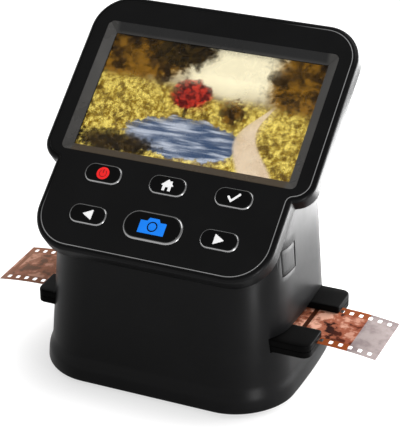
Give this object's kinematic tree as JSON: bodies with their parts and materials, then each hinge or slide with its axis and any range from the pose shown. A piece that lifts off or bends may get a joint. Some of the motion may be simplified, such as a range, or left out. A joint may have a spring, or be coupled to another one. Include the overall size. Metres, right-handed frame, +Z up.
{
  "type": "film negative scanner",
  "caption": "Desk scanner for 35 mm film strips: rounded tower, slanted head with a display and push buttons, sliding film tray through both sides.",
  "frame": {"origin": "centre of the base plate's underside, on the tower's plane of symmetry", "axes": "+X to the right along the film's path, +Y to the back, +Z up"},
  "size_m": [0.198, 0.1134, 0.158],
  "materials": {
    "shell_black": "gloss",
    "plate_black": "high gloss",
    "base_black": "fine grain",
    "button_black": "high gloss",
    "bezel_grey": "semi-gloss",
    "window_clear": "clear",
    "display_dark": "display picture",
    "board_green": "solder mask",
    "switch_black": "matt",
    "bare_steel": "brushed",
    "pad_rubber": "matt",
    "foot_rubber": "matt",
    "tray_black": "satin",
    "film_amber": "gloss",
    "inner_grey": "matt",
    "lamp_white": "matt",
    "diffuser_white": "frosted",
    "lens_glass": "coated",
    "flex_amber": "film"
  },
  "bodies": {
    "body": {"body_shell": "shell_black", "base_plate": "base_black", "head_housing": "shell_black", "face_plate": "plate_black", "keypad_membrane": "pad_rubber", "button_board": "board_green", "tact_switches": "switch_black", "display_bezel": "bezel_grey", "display_window": "window_clear", "display_panel": "display_dark", "backlight_unit": "bare_steel", "display_flex": "flex_amber", "flap_pin": "bare_steel", "foot_front_left": "foot_rubber", "foot_front_right": "foot_rubber", "foot_rear_left": "foot_rubber", "foot_rear_right": "foot_rubber", "guide_lower": "inner_grey", "guide_upper": "inner_grey", "light_board": "board_green", "light_lamps": "lamp_white", "light_frame": "lamp_white", "diffuser": "diffuser_white", "camera_holder": "inner_grey", "lens_barrel": "switch_black", "front_lens": "lens_glass", "camera_board": "board_green", "image_sensor": "switch_black", "main_board": "board_green", "board_chips": "switch_black", "usb_port": "bare_steel", "card_slot": "bare_steel"},
    "tray": {"tray_lower_frame": "tray_black", "tray_upper_frame": "tray_black"},
    "film": {"film_strip": "film_amber"},
    "power_key": {"power_button": "button_black"},
    "home_key": {"home_button": "button_black"},
    "confirm_key": {"confirm_button": "button_black"},
    "back_key": {"back_button": "button_black"},
    "capture_key": {"capture_button": "button_black"},
    "forward_key": {"forward_button": "button_black"},
    "flap": {"port_flap": "shell_black"}
  },
  "joints": [
    {"name": "tray_slide", "type": "slide", "parent": "body", "child": "tray", "axis": [1, 0, 0], "range_m": [-0.06, 0.06]},
    {"name": "film_feed", "type": "slide", "parent": "tray", "child": "film", "axis": [1, 0, 0], "range_m": [-0.076, 0.076]},
    {"name": "power_press", "type": "slide", "parent": "body", "child": "power_key", "axis": [0, 0.6121, -0.7908], "range_m": [0, 0.0008], "stiffness_N_per_m": 1000, "springref_m": -0.0008},
    {"name": "home_press", "type": "slide", "parent": "body", "child": "home_key", "axis": [0, 0.6121, -0.7908], "range_m": [0, 0.0008], "stiffness_N_per_m": 1000, "springref_m": -0.0008},
    {"name": "confirm_press", "type": "slide", "parent": "body", "child": "confirm_key", "axis": [0, 0.6121, -0.7908], "range_m": [0, 0.0008], "stiffness_N_per_m": 1000, "springref_m": -0.0008},
    {"name": "back_press", "type": "slide", "parent": "body", "child": "back_key", "axis": [0, 0.6121, -0.7908], "range_m": [0, 0.0008], "stiffness_N_per_m": 1000, "springref_m": -0.0008},
    {"name": "capture_press", "type": "slide", "parent": "body", "child": "capture_key", "axis": [0, 0.6121, -0.7908], "range_m": [0, 0.0008], "stiffness_N_per_m": 1000, "springref_m": -0.0008},
    {"name": "forward_press", "type": "slide", "parent": "body", "child": "forward_key", "axis": [0, 0.6121, -0.7908], "range_m": [0, 0.0008], "stiffness_N_per_m": 1000, "springref_m": -0.0008},
    {"name": "port_flap_hinge", "type": "hinge", "parent": "body", "child": "flap", "pos_m": [0.05827, -0.0096, 0.0697], "axis": [-0.0549, 0, 0.9985], "range_deg": [0, 90]}
  ]
}
